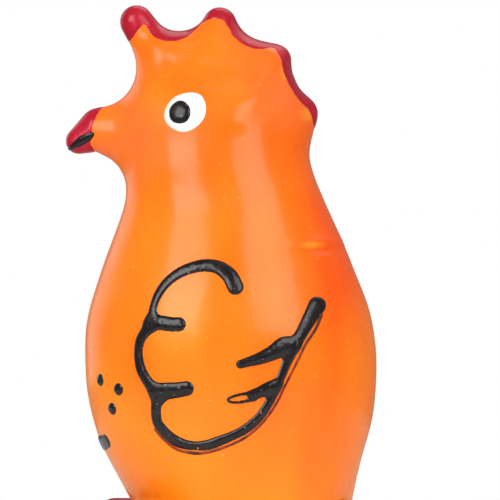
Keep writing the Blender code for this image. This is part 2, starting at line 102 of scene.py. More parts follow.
WING = (
    ((3.9, 71.5, 2.25), (2.2, 74.7, 2.2), (-0.8, 76.9, 1.9), (-4.3, 77.5, 1.75), (-8.0, 76.9, 1.6),
     (-11.7, 75.4, 1.45), (-15.2, 72.8, 1.3), (-17.7, 69.4, 1.15), (-19.0, 66.0, 1.05),
     (-19.4, 63.2, 1.35), (-20.1, 60.6, 1.5)),
    ((-19.7, 61.6, 1.8), (-16.8, 61.4, 2.05), (-14.0, 61.0, 2.0), (-12.0, 61.0, 2.0)),
    ((-19.9, 60.4, 1.6), (-22.2, 57.6, 1.35), (-23.1, 54.9, 1.2), (-23.2, 52.1, 1.2),
     (-22.5, 48.4, 1.35), (-20.7, 45.0, 1.45), (-18.4, 42.4, 1.8), (-17.5, 40.7, 1.7)),
    ((-18.2, 42.0, 2.1), (-15.6, 42.3, 2.35), (-12.4, 42.6, 2.15), (-9.8, 43.0, 2.05)),
    ((-17.3, 41.2, 1.9), (-18.2, 38.4, 1.45), (-18.3, 35.8, 1.35), (-17.6, 33.0, 1.35),
     (-14.6, 29.6, 1.45), (-11.0, 27.6, 1.35), (-7.4, 27.0, 1.2), (-3.9, 27.2, 1.4),
     (-0.4, 28.4, 1.4), (3.1, 29.8, 1.25), (6.6, 31.6, 1.3), (10.1, 34.5, 1.25), (12.6, 37.8, 1.2),
     (14.8, 41.9, 1.15), (16.6, 46.0, 1.15), (18.3, 50.2, 1.3), (20.4, 54.9, 1.7), (22.6, 58.8, 1.75),
     (24.9, 63.0, 2.05), (26.8, 66.3, 2.45)),
    ((20.1, 55.3, 1.9), (17.6, 54.9, 2.6), (14.3, 53.0, 2.1), (10.6, 51.4, 1.65), (7.3, 50.4, 1.3),
     (5.3, 49.8, 1.15)),
    ((15.7, 44.3, 1.1), (14.2, 43.4, 1.9), (11.5, 42.3, 1.65), (9.4, 41.4, 1.3), (8.4, 41.0, 0.9)))
RING = ((9.2, 42.0, 0.4), (6.0, 41.5, 0.34), (3.6, 40.9, 0.32), (1.9, 40.1, 0.3), (2.2, 39.4, 0.3),
        (4.2, 39.1, 0.32), (7.0, 39.5, 0.38), (9.2, 40.1, 0.45))
TRAIL = ((28.0, 63.6, 0.45), (26.3, 59.6, 0.42), (23.6, 55.4, 0.4), (20.9, 49.9, 0.36),
         (18.0, 44.1, 0.36), (15.2, 38.5, 0.36), (11.4, 33.3, 0.38), (6.7, 29.3, 0.4),
         (1.2, 26.7, 0.42), (-4.2, 25.1, 0.45), (-8.2, 25.0, 0.5), (-12.4, 26.0, 0.45),
         (-16.0, 28.6, 0.4), (-18.6, 31.6, 0.36))
CHEST_DOTS = (("high", -33.4, 45.8), ("mid", -28.2, 43.4), ("low", -30.1, 37.9))
CHEST_BAR = ((-11.8, 28.8, 1.8), (-6.0, 28.0, 2.1), (0.0, 27.8, 2.1), (6.0, 28.0, 2.1),
             (11.8, 28.8, 1.8))     # (y, z, half width), seen from the front
BUBBLE_AT, BUBBLE_R, BUBBLE_STRETCH = (-6.6, 26.3), 0.3, 1.3


# ---------------------------------------------------------------- the moulding as a distance field
def natural_spline(z, rows):
    """Natural cubic spline through rows of (height, values...), evaluated at z."""
    zs, vs = rows[:, 0], rows[:, 1:]
    n, h = len(zs), np.diff(zs)
    m, r = np.eye(n), np.zeros_like(vs)
    for i in range(1, n - 1):
        m[i, i - 1:i + 2] = h[i - 1], 2 * (h[i - 1] + h[i]), h[i]
        r[i] = 6 * ((vs[i + 1] - vs[i]) / h[i] - (vs[i] - vs[i - 1]) / h[i - 1])
    k = np.linalg.solve(m, r)
    i = np.clip(np.searchsorted(zs, z) - 1, 0, n - 2)
    t, u, w = (z - zs[i])[..., None], (zs[i + 1] - z)[..., None], h[i][..., None]
    return (k[i] * u ** 3 + k[i + 1] * t ** 3) / (6 * w) + (vs[i] / w - k[i] * w / 6) * u \
        + (vs[i + 1] / w - k[i + 1] * w / 6) * t


def smin(a, b, k):
    """Smaller of a and b, rounded over a width k."""
    h = np.clip(0.5 + 0.5 * (b - a) / k, 0, 1)
    return b * (1 - h) + a * h - k * h * (1 - h)


def loft(x, y, z, inset=0.0, low=FLOOR_LOW, soft=3.0):
    """Distance outside the body's sections, each an ellipse shrunk by inset."""
    zc = np.clip(z, BODY[0, 0], BODY[-1, 0])
    def q(at):
        s = natural_spline(at, BODY)
        return np.sqrt(((x - (s[..., 0] + s[..., 1]) / 2) / ((s[..., 1] - s[..., 0]) / 2 - inset)) ** 2
                       + (y / (s[..., 2] - inset)) ** 2), s
    here, s = q(zc)
    slope = (q(np.minimum(zc + 0.1, BODY[-1, 0]))[0] - here) / 0.1
    a, b = (s[..., 1] - s[..., 0]) / 2 - inset, s[..., 2] - inset
    ux, uy = (x - (s[..., 0] + s[..., 1]) / 2) / a ** 2, y / b ** 2
    grow = np.sqrt((ux * ux + uy * uy) / np.maximum(here, 0.2) ** 2 + slope ** 2) + 1e-6
    side = (here - 1) / grow
    return -smin(-np.maximum(side, z - BODY[-1, 0]), z - low, soft) if soft else \
        np.maximum(np.maximum(side, z - BODY[-1, 0]), low - z)


def ellipsoid(x, y, z, centre, radii):
    """Near-distance outside an ellipsoid."""
    u = [(p - c) / r for p, c, r in zip((x, y, z), centre, radii)]
    k0 = np.sqrt(sum(v * v for v in u)) + 1e-6
    k1 = np.sqrt(sum((v / r) ** 2 for v, r in zip(u, radii))) + 1e-6
    return k0 * (k0 - 1) / k1


def cone(x, y, z, p, q, depth=1.0):
    """Round cone between balls p and q, each (x, y, z, radius)."""
    p, q = np.array(p, float), np.array(q, float)
    ba, rr = q[:3] - p[:3], p[3] - q[3]
    l2 = ba @ ba
    a2, il2 = l2 - rr * rr, 1 / l2
    pa = [x - p[0], (y - p[1]) / depth, z - p[2]]
    t = sum(v * c for v, c in zip(pa, ba))
    side = sum((v * l2 - c * t) ** 2 for v, c in zip(pa, ba))
    over = t - l2
    k = np.sign(rr) * rr * rr * side
    out = (np.sqrt(side * a2 * il2) + t * rr) * il2 - p[3]
    far = np.sqrt(side + over * over * l2) * il2 - q[3]
    near = np.sqrt(side + t * t * l2) * il2 - p[3]
    return np.where(np.sign(over) * a2 * over ** 2 * l2 > k, far,
                    np.where(np.sign(t) * a2 * t ** 2 * l2 < k, near, out))


def flat(ball):
    """Ball (x, z, radius) as a ball in the middle plane."""
    return (ball[0], 0.0, ball[1], ball[2])


def smoothstep(t):
    t = np.clip(t, 0, 1)
    return t * t * (3 - 2 * t)


def outer(x, y, z):
    """Outside of the moulding; negative inside."""
    y = np.abs(y)
    crown = smoothstep((z - NECK_Z) / NECK_BLEND)
    d = loft(x, y, z) * (1 - crown) + ellipsoid(x, y, z, HEAD_AT, HEAD_R) * crown
    top, low = np.max(z) > 100, np.min(z) < 30
    if top:
        comb = np.full(np.broadcast(x, y, z).shape, 1e3)
        for a, b in zip(RIDGE, RIDGE[1:]):
            comb = np.minimum(comb, cone(x, y, z, flat(a), flat(b), RIDGE_DEPTH))
        for a, b in LOBES:
            comb = smin(comb, cone(x, y, z, flat(a), flat(b), LOBE_DEPTH), LOBE_BLEND)
        d = smin(d, comb, COMB_BLEND)
        beak = np.minimum(*[cone(x, y, z, flat(a), flat(b), BEAK_DEPTH) for a, b in zip(BEAK, BEAK[1:])])
        d = smin(d, beak, BEAK_BLEND)
    if low:
        foot = cone(x, y, z, ANKLE, FRONT_TOES[0])
        for toe in FRONT_TOES[1:]:
            foot = smin(foot, cone(x, y, z, ANKLE, toe), TOE_BLEND)
        foot = np.minimum(foot, cone(x, y, z, HIND_ROOT, HIND_TOE))
        d = smin(d, foot, FOOT_BLEND)
        d = -smin(-d, z + 0 * d, SOLE_ROUND)
    return d - relief(x, y, z)


def bump(x, y, z, at, radii, height):
    """Soft bump of the given height, or a dent where it is negative."""
    return height * np.exp(-sum(((p - c) / r) ** 2 for p, c, r in zip((x, y, z), at, radii)))


def relief(x, y, z):
    """Slight unevenness of soft, stuffed latex."""
    wave = 0.10 * np.sin(x * 0.21 + 1.3) * np.sin(z * 0.17 + 0.4) + 0.07 * np.sin(z * 0.37 - x * 0.11)
    fold = bump(x, y, z, (29.0, 20.0, 81.8), (7.0, 16.0, 1.1), -0.65)
    fold = fold + bump(x, y, z, (28.0, 20.0, 84.2), (7.5, 16.0, 1.4), 0.5)
    sag = bump(x, y, z, (27.0, 26.0, 19.0), (2.0, 9.0, 5.0), -0.45) \
        + bump(x, y, z, (32.0, 24.0, 18.0), (1.8, 9.0, 5.0), 0.40) \
        + bump(x, y, z, (17.0, 30.0, 18.0), (2.4, 9.0, 4.0), -0.30)
    start, run, run_squared = (4.0, 118.0), (12.5, 16.0), 412.0     # crest from the eye to the comb
    t = np.clip(((x - start[0]) * run[0] + (z - start[1]) * run[1]) / run_squared, 0, 1)
    off = np.sqrt((x - start[0] - run[0] * t) ** 2 + (z - start[1] - run[1] * t) ** 2)
    crest = 0.55 * np.exp(-(off / 3.2) ** 2) * np.clip((y - 3.0) / 6.0, 0, 1)
    return wave * 0.6 + fold + sag + crest


def cavity(x, y, z):
    """Inside of the moulding, with the hole in its floor."""
    room = np.minimum(loft(x, y, z, WALL, FLOOR_TOP, 0.0),
                      ellipsoid(x, y, z, HEAD_AT, [r - WALL for r in HEAD_R]))
    hole = np.maximum(np.hypot(x - BASE_X, y) - HOLE_R, np.abs(z - 1.0) - 4.0)
    return np.minimum(room, hole)


def skin_field(x, y, z):
    return np.maximum(outer(x, y, z), -cavity(x, y, z))


def gradient(f, p, e=0.05):
    g = np.empty_like(p)
    for k in range(3):
        a, b = p.copy(), p.copy()
        a[:, k] -= e
        b[:, k] += e
        g[:, k] = (f(*b.T) - f(*a.T)) / (2 * e)
    return g


def settle(f, p, rounds=3):
    """Move points onto the zero surface of f."""
    for _ in range(rounds):
        g = gradient(f, p)
        d = f(*p.T)
        move = (d / np.maximum((g * g).sum(1), 0.05))[:, None] * g
        size = np.linalg.norm(move, axis=1, keepdims=True)
        p = p - move * np.minimum(1.0, 0.5 / np.maximum(size, 1e-9))
    return p


def normals(f, p):
    g = gradient(f, p)
    return g / np.linalg.norm(g, axis=1, keepdims=True)


def surface(f, low, high, step):
    """Surface-net quads of the zero surface of f; f is even in y."""
    n = [int(math.ceil((b - a) / step)) + 1 for a, b in zip(low, high)]
    xs, zs = low[0] + step * np.arange(n[0]), low[2] + step * np.arange(n[2])
    half = step * (np.arange(n[1] // 2 + 1) + 0.5)
    block = f(xs[:, None, None], half[None, :, None], zs[None, None, :])
    vals = np.concatenate([block[:, ::-1], block], axis=1)
    ys0 = -half[-1]
    inside = vals < 0
    cells = [s - 1 for s in vals.shape]
    count, total = np.zeros(cells), np.zeros(cells + [3])
    for ax in range(3):
        lo, hi = [slice(None)] * 3, [slice(None)] * 3
        lo[ax], hi[ax] = slice(0, -1), slice(1, None)
        a, b = vals[tuple(lo)], vals[tuple(hi)]
        cut = (a < 0) != (b < 0)
        t = np.where(cut, a / np.where(cut, a - b, 1.0), 0.0)
        others = [k for k in range(3) if k != ax]
        for du in (0, 1):
            for dv in (0, 1):
                s = [slice(None)] * 3
                s[others[0]] = slice(du, du + cells[others[0]])
                s[others[1]] = slice(dv, dv + cells[others[1]])
                c, tt = cut[tuple(s)], t[tuple(s)]
                count += c
                total[..., ax] += tt
                total[..., others[0]] += c * du
                total[..., others[1]] += c * dv
    live = count > 0
    index = np.full(cells, -1)
    index[live] = np.arange(live.sum())
    where = np.argwhere(live)
    points = (where + total[live] / count[live][:, None]) * step + np.array([low[0], ys0, low[2]])
    quads = []
    for ax in range(3):
        lo, hi = [slice(1, -1)] * 3, [slice(1, -1)] * 3
        lo[ax], hi[ax] = slice(0, -1), slice(1, None)
        a, b = inside[tuple(lo)], inside[tuple(hi)]
        u, v = [k for k in range(3) if k != ax]
        for flip in (False, True):
            at = np.argwhere((a & ~b) if not flip else (~a & b))
            at[:, u] += 1
            at[:, v] += 1
            ring = []
            for du, dv in ((-1, -1), (0, -1), (0, 0), (-1, 0)):
                c = at.copy()
                c[:, u] += du
                c[:, v] += dv
                ring.append(index[tuple(c.T)])
            quad = np.stack(ring, 1)
            if flip != (ax == 1):
                quad = quad[:, ::-1]
            quads.append(quad)
    return points, np.concatenate(quads)


# ---------------------------------------------------------------- meshes
def make(name, points, faces):
    """Smooth-shaded object from points in millimetres."""
    mesh = bpy.data.meshes.new(name)
    mesh.from_pydata((np.asarray(points) * MM).tolist(), [], [list(map(int, f)) for f in faces])
    mesh.update()
    mesh.shade_smooth()
    obj = bpy.data.objects.new(name, mesh)
    bpy.context.scene.collection.objects.link(obj)
    return obj


def shell(name, top, under, faces):
    """Closed coat: top faces, the same faces below them, and a wall along the free edges."""
    used = np.unique(faces)
    remap = np.full(len(top), -1)
    remap[used] = np.arange(len(used))
    f, n = remap[faces], len(used)
    edges = np.concatenate([f[:, [0, 1]], f[:, [1, 2]], f[:, [2, 3]], f[:, [3, 0]]])
    key = np.sort(edges, 1)
    _, inverse, counts = np.unique(key, axis=0, return_inverse=True, return_counts=True)
    rim = edges[counts[inverse.ravel()] == 1]
    wall = np.stack([rim[:, 1], rim[:, 0], rim[:, 0] + n, rim[:, 1] + n], 1)
    return make(name, np.concatenate([top[used], under[used]]),
                np.concatenate([f, f[:, ::-1] + n, wall]))


def grain(p, scale, seed=0.0):
    """Smooth noise in [-1, 1] at each point."""
    return np.array([noise.noise(Vector((a[0] * scale + seed, a[1] * scale, a[2] * scale))) for a in p])


def curve_through(points, steps):
    """Catmull-Rom curve through points of any dimension."""
    pts = np.array([points[0]] + list(points) + [points[-1]], float)
    t = np.arange(steps)[:, None] / steps
    rows = [0.5 * (2 * b + (c - a) * t + (2 * a - 5 * b + 4 * c - d) * t * t
                   + (3 * b - a - 3 * c + d) * t ** 3)
            for a, b, c, d in zip(pts, pts[1:], pts[2:], pts[3:])]
    return np.concatenate(rows + [pts[-1:]])


def stroke_depth(u, v, strokes, steps=14):
    """Distance inside brush strokes (positive inside), and the local half width."""
    best, width = np.full(u.shape, -99.0), np.ones(u.shape)
    for stroke in strokes:
        own = np.full(u.shape, -99.0)
        for a, b, w in curve_through(stroke, steps):
            near = (np.abs(u - a) < w + 2.5) & (np.abs(v - b) < w + 2.5)
            d = w - np.hypot(u[near] - a, v[near] - b)
            old, wide = own[near], width[near]
            better = d > old
            old[better] = d[better]
            wide[better & (d > best[near])] = w
            own[near], width[near] = old, wide
        best = -smin(-best, -own, STROKE_BLEND)
    return best, width


def side_of(u, v, line):
    """Signed distance from an open line; positive on its left."""
    pts = curve_through(line, 8)
    best, sign = np.full(u.shape, 1e9), np.ones(u.shape)
    for (ax, az), (bx, bz) in zip(pts, pts[1:]):
        dx, dz = bx - ax, bz - az
        t = np.clip(((u - ax) * dx + (v - az) * dz) / (dx * dx + dz * dz), 0, 1)
        d = np.hypot(u - ax - t * dx, v - az - t * dz)
        s = dx * (v - az) - dz * (u - ax)
        better = d < best - 1e-6
        best[better], sign[better] = d[better], np.sign(s[better])
    return best * sign


def edge_lift(g, height, width, dive=0.55):
    """Coat thickness that rises from nothing at its edge and dives under the skin outside it."""
    rise = height * (1 - np.exp(-np.maximum(g, 0) / width))
    return np.where(g > 0, rise, np.maximum(g * dive, -0.55))


def net(low, high, step, f=outer):
    """Points, normals and quads of part of a field's surface."""
    p, q = surface(f, low, high, step)
    p = settle(f, p)
    return p, normals(f, p), q


def film(name, skin_net, region, height=COAT, width=COAT_EDGE, reach=1.5):
    """Coat over the part of the skin where region(points) > 0."""
    p, n, q = skin_net
    g = region(p)
    faces = q[g[q].min(1) > -reach]
    return shell(name, p + n * edge_lift(g, height, width)[:, None], p - n * UNDER, faces)


def decal(name, origin, across, up, inward, box, depth_of, bead, reach=0.7, seen_from=None):
    """Raised mark drawn on a plane and dropped onto the skin along the inward direction,
    or along the lines of sight from the point that it is seen from."""
    origin, across, up, inward = [np.array(a, float) for a in (origin, across, up, inward)]
    turned = np.dot(np.cross(across, up), inward) > 0
    u, v = np.meshgrid(np.arange(box[0], box[1] + FINE, FINE), np.arange(box[2], box[3] + FINE, FINE),
                       indexing="ij")
    g, w = depth_of(u, v)
    n, m = u.shape
    at = np.arange(n * m).reshape(n, m)
    quads = np.stack([at[:-1, :-1], at[1:, :-1], at[1:, 1:], at[:-1, 1:]], -1).reshape(-1, 4)
    g, w = g.ravel(), w.ravel()
    quads = quads[g[quads].min(1) > -reach]
    used = np.unique(quads)
    p = origin + u.ravel()[used, None] * across + v.ravel()[used, None] * up
    if seen_from is not None:
        inward = p - seen_from
        inward = inward / np.linalg.norm(inward, axis=1, keepdims=True)
        p = p - inward * 30.0
    for _ in range(9):
        f0 = outer(*p.T)
        slope = (outer(*(p + inward * 0.05).T) - f0) / 0.05
        p = p - inward * np.clip(f0 / np.minimum(slope, -0.15), -6, 6)[:, None]
    nrm = normals(outer, p)
    remap = np.full(n * m, -1)
    remap[used] = np.arange(len(used))
    f = remap[quads]
    if turned:
        f = f[:, ::-1]
    return shell(name, p + nrm * bead(g[used], w[used], p)[:, None], p - nrm * UNDER, f)


def bead_of(height, wide=0.12, rough=0.10, seed=0.0):
    """Rounded bead of thick paint with a slightly wrinkled top."""
    def lift(g, w, p):
        r = np.clip(g / w, 0, 1)
        round_top = np.sqrt(np.maximum(1 - (1 - r) ** 2.2, 0))
        uneven = 1 + rough * (grain(p, 0.35, seed) + 0.6 * grain(p, 1.1, seed + 9))
        return np.where(g > 0, (height + wide * w) * round_top * uneven, np.maximum(g * 0.9, -0.6))
    return lift


def wing_depth(x, z):
    """The wing's strokes, with a small bubble that burst in the lowest one."""
    g, w = stroke_depth(x, z, WING + (RING,))
    hole = np.hypot((x - BUBBLE_AT[0]) / BUBBLE_STRETCH, z - BUBBLE_AT[1]) - BUBBLE_R
    return np.minimum(g, hole), w


def wobble(p, size, scale, seed):
    """Unevenness of a painted edge."""
    return size * (grain(p, scale, seed) + 0.5 * grain(p, scale * 2.7, seed + 5))


# ---------------------------------------------------------------- the moulding and its paint
def comb_region(p):
    g = side_of(p[:, 0], p[:, 2], COMB_LINE)
    g = smin(g, COMB_PAINT_HALF - np.abs(p[:, 1]), 3.5)
    near = np.abs(g) < 3
    g[near] += wobble(p[near], 0.22, 0.5, 3.0)
    return g


def beak_region(p):
    g = -side_of(p[:, 0], p[:, 2], BEAK_LINE)
    near = np.abs(g) < 3
    g[near] += wobble(p[near], 0.16, 0.6, 8.0)
    return g


def mouth_region(p):
    return stroke_depth(p[:, 0], p[:, 2], (MOUTH,), 10)[0] + wobble(p, 0.10, 0.9, 1.0)


def toe_region(links, side):
    def region(p):
        d = np.min([cone(p[:, 0], p[:, 1] * side, p[:, 2], a, b) for a, b in links], axis=0)
        return np.minimum(np.minimum(TOE_PAINT_REACH - d, p[:, 2] - 0.6) + wobble(p, 0.18, 0.5, 2.0),
                          p[:, 1] * side - 0.8)
    return region


def eye_depth(at, radii, tilt):
    c, s = math.cos(math.radians(tilt)), math.sin(math.radians(tilt))
    def depth(x, z):
        x, z = x - at[0], z - at[1]
        a, b = (x * c + z * s) / radii[0], (-x * s + z * c) / radii[1]
        turn = np.arctan2(b, a)
        wave = 0.02 * np.sin(3 * turn + 0.7) + 0.012 * np.sin(5 * turn)
        return (1 + wave - np.hypot(a, b)) * min(radii), np.full(x.shape, min(radii))
    return depth


def dot_depth(radius):
    def depth(u, v):
        turn = np.arctan2(v, u)
        return radius * (1 + 0.05 * np.sin(2 * turn + 1.0)) - np.hypot(u, v), np.full(u.shape, radius)
    return depth


skin_p, skin_n, skin_q = net((-47, -41, -2), (47, 41, 153), PITCH, skin_field)
pieces = {"skin": make("skin", skin_p, skin_q)}
MASTERS = {"skin": ("latex_skin",)}

head_net = net((-33, -14, 110), (33, 14, 153), PITCH * 0.6)
beak_net = net((-47, -12, 102), (-27, 12, 128), PITCH * 0.42)
foot_net = net((-42, -42, -1), (45, 42, 24), PITCH * 0.8)
pieces["comb_red"] = film("comb_red", head_net, comb_region)
pieces["beak_red"] = film("beak_red", beak_net, beak_region)
pieces["mouth"] = film("mouth", beak_net, mouth_region, 0.42, 0.35)
MASTERS.update(comb_red=("comb_paint",), beak_red=("beak_paint",), mouth=("mouth_line",))

for side, tag in ((-1, "left"), (1, "right")):
    flat_on = dict(origin=(0, 0, 0), across=(1, 0, 0), up=(0, 0, 1), inward=(0, -side, 0),
                   seen_from=np.array([VIEW_X, side * DISTANCE, VIEW_Z]))
    marks = (
        ("eye_", "eye_white_", (-18, -2, 113, 128), eye_depth(EYE_AT, EYE_R, EYE_TILT),
         lambda g, w, p: edge_lift(g, COAT, 0.25, 0.9)),
        ("pupil_bead_", "pupil_", (-16, -7, 116, 125), eye_depth(PUPIL_AT, PUPIL_R, PUPIL_TILT),
         bead_of(0.6, 0.08, 0.05, 4.0)),
        ("wing_", "wing_outline_", (-27, 31, 22, 82), wing_depth, bead_of(0.42, 0.16, 0.10, side * 3.0)),
        ("wing_trail_", "wing_outline_", (-19, 31, 22, 66), lambda x, z: stroke_depth(x, z, (TRAIL,)),
         bead_of(0.12, 0.1, 0.2, 6.0)))
    for name, node, box, depth_of, bead in marks:
        pieces[name + tag] = decal(name + tag, box=box, depth_of=depth_of, bead=bead, **flat_on)
        MASTERS[name + tag] = (node + tag,)
    for label, x, z in CHEST_DOTS:
        s = natural_spline(np.array([z]), BODY)[0]
        k = (x - (s[0] + s[1]) / 2) / ((s[1] - s[0]) / 2)
        at = settle(outer, np.array([[x, side * s[2] * math.sqrt(max(0.0, 1 - k * k)), z]]))
        n = Vector(normals(outer, at)[0])
        a = n.cross(Vector((0, 0, 1))).normalized()
        name = "dot_%s_%s" % (label, tag)
        pieces[name] = decal(name, at[0], a, n.cross(a), -n, (-2.6, 2.6, -2.6, 2.6), dot_depth(CHEST_DOT_R),
                             bead_of(0.35, 0.1, 0.08, x))
        MASTERS[name] = ("chest_dot_%s_%s" % (label, tag),)
    for name, node, links in (("toes_front_", "front_toe_paint_", [(ANKLE, toe) for toe in FRONT_TOES]),
                              ("toes_hind_", "hind_toe_paint_", [(HIND_ROOT, HIND_TOE)])):
        pieces[name + tag] = film(name + tag, foot_net, toe_region(links, side))
        MASTERS[name + tag] = (node + tag,)
pieces["chest_bar"] = decal("chest_bar", (-44, 0, 0), (0, 1, 0), (0, 0, 1), (1, 0, 0), (-16, 16, 23, 33),
                            lambda y, z: stroke_depth(y, z, (CHEST_BAR,)), bead_of(0.16, 0.1, 0.1, 2.0))
MASTERS["chest_bar"] = ("chest_mark",)


# ---------------------------------------------------------------- wadding
def wad_field(low, high):
    """One lumpy tuft between two heights, with room for the squeaker."""
    def f(x, y, z):
        room = np.minimum(loft(x, y, z, WALL + 1.0, low, 0.0),
                          ellipsoid(x, y, z, HEAD_AT, [r - WALL - 1.0 for r in HEAD_R]))
        room = np.maximum(room, np.maximum(low - z, z - high))
        pocket = np.maximum(np.hypot(x - 3.0, z - 46.0) - 18.6, np.abs(y) - 12.6)
        lumps = 0.45 * np.sin(x * 0.5 + 2 * np.sin(z * 0.23)) * np.sin(y * 0.55) * np.sin(z * 0.47)
        return -smin(-(room + np.abs(lumps) + 0.2), pocket, 1.5)
    return f


for name, node, low, high in (("wad_lower", "stuffing_lower", 5.8, 45.8),
                              ("wad_upper", "stuffing_upper", 46.2, 134.0)):
    p, n, q = net((-45, -40, low - 3), (45, 40, high + 3), 1.6, wad_field(low, high))
    pieces[name] = make(name, p, q)
    MASTERS[name] = (node,)


# ---------------------------------------------------------------- materials
def material(name, **sockets):
    mat = bpy.data.materials.new(name)
    mat.use_nodes = True
    tree = mat.node_tree
    shader = tree.nodes["Principled BSDF"]
    for key, value in sockets.items():
        shader.inputs[key.replace("_", " ").title().replace("Ior", "IOR")].default_value = value
    coord = tree.nodes.new("ShaderNodeTexCoord").outputs["Object"]
    return mat, tree, shader, coord


def plug(tree, value, socket):
    if isinstance(value, bpy.types.NodeSocket):
        tree.links.new(value, socket)
    else:
        socket.default_value = value


def mix(tree, factor, a, b):
    node = tree.nodes.new("ShaderNodeMix")
    node.data_type = "RGBA"
    for key, value in ((0, factor), (6, a), (7, b)):
        if key and not isinstance(value, bpy.types.NodeSocket):
            value = (*value, 1.0)
        plug(tree, value, node.inputs[key])
    return node.outputs[2]


def maths(tree, operation, a, b=0.0, c=None, clamp=False):
    node = tree.nodes.new("ShaderNodeMath")
    node.operation, node.use_clamp = operation, clamp
    plug(tree, a, node.inputs[0])
    plug(tree, b, node.inputs[1])
    if c is not None:
        plug(tree, c, node.inputs[2])
    return node.outputs[0]


def stretch(tree, value, low, high, to_low=0.0, to_high=1.0, smooth=True):
    """Value mapped from low..high to to_low..to_high and held there."""
    node = tree.nodes.new("ShaderNodeMapRange")
    node.interpolation_type = "SMOOTHSTEP" if smooth else "LINEAR"
    for key, item in enumerate((value, low, high, to_low, to_high)):
        plug(tree, item, node.inputs[key])
    return node.outputs[0]


def cloud(tree, coord, scale, detail=3.0, rough=0.5, squeeze=(1, 1, 1), shift=(0, 0, 0)):
    place = tree.nodes.new("ShaderNodeMapping")
    place.inputs["Scale"].default_value, place.inputs["Location"].default_value = squeeze, shift
    tree.links.new(coord, place.inputs["Vector"])
    node = tree.nodes.new("ShaderNodeTexNoise")
    tree.links.new(place.outputs[0], node.inputs["Vector"])
    node.inputs["Scale"].default_value = scale
    node.inputs["Detail"].default_value, node.inputs["Roughness"].default_value = detail, rough
    return node.outputs["Fac"]


def spot(tree, coord, centre, radii, amount):
    """Soft mask from the amount near the centre to 0 outside; sizes in millimetres, either flank."""
    fold = tree.nodes.new("ShaderNodeVectorMath")
    fold.operation = "ABSOLUTE"
    tree.links.new(coord, fold.inputs[0])
    keep = tree.nodes.new("ShaderNodeSeparateXYZ")
    tree.links.new(coord, keep.inputs[0])
    side = tree.nodes.new("ShaderNodeSeparateXYZ")
    tree.links.new(fold.outputs[0], side.inputs[0])
    total = None
    for out, c, r in ((keep.outputs[0], centre[0], radii[0]), (side.outputs[1], centre[1], radii[1]),
                      (keep.outputs[2], centre[2], radii[2])):
        d = maths(tree, "MULTIPLY_ADD", out, 1.0 / (r * MM), -c / r)
        d = maths(tree, "MULTIPLY", d, d)
        total = d if total is None else maths(tree, "ADD", total, d)
    return maths(tree, "MULTIPLY", stretch(tree, maths(tree, "SQRT", total), 0.1, 1.0, 1.0, 0.0), amount)


def bumpy(tree, shader, layers):
    """Chain of bump nodes: (height socket, strength, distance in mm)."""
    last = None
    for height, strength, reach in layers:
        node = tree.nodes.new("ShaderNodeBump")
        node.inputs["Strength"].default_value, node.inputs["Distance"].default_value = strength, reach * MM
        tree.links.new(height, node.inputs["Height"])
        if last:
            tree.links.new(last, node.inputs["Normal"])
        last = node.outputs[0]
    tree.links.new(last, shader.inputs["Normal"])


